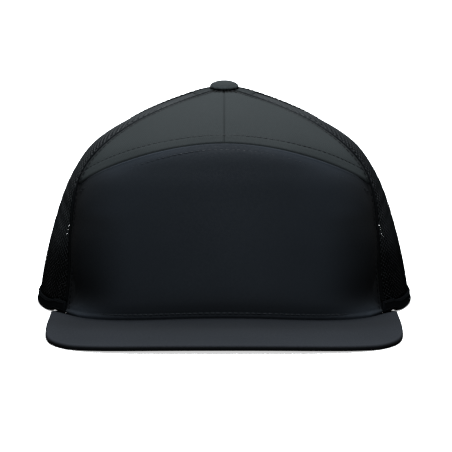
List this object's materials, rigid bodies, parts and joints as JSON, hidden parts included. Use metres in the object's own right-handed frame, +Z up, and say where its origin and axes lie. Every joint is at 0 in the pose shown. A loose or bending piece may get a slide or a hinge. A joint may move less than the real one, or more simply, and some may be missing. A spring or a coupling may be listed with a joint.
{
  "type": "flat bill trucker cap",
  "caption": "Structured cap with one wide arched front panel, two upper panels, net sides and back, a covered button and a flat bill that shades the eyes.",
  "frame": {"origin": "middle of the cap's footprint, on the surface that it stands on", "axes": "+Z up, -Y towards the front edge of the bill, +X to the right of someone who looks at the front"},
  "size_m": [0.1906, 0.2622, 0.1132],
  "materials": {
    "front_cloth": "matt black twill on a stiff backing",
    "upper_cloth": "matt black twill with a slight sheen",
    "net": "black polyester net with small round-cornered holes",
    "tape": "black woven tape",
    "sweatband_cloth": "soft black cotton",
    "strap_plastic": "satin black moulded plastic",
    "bill_cloth": "matt black twill drawn tight over a stiff board"
  },
  "bodies": {
    "root": {"front_panel": "front_cloth", "upper_panel_left": "upper_cloth", "upper_panel_right": "upper_cloth", "side_net_left": "net", "side_net_right": "net", "back_net_left": "net", "back_net_right": "net", "hem_left": "tape", "hem_right": "tape", "back_binding": "tape", "sweatband": "sweatband_cloth", "back_strap": "strap_plastic", "button": "upper_cloth", "bill": "bill_cloth"}
  },
  "joints": []
}
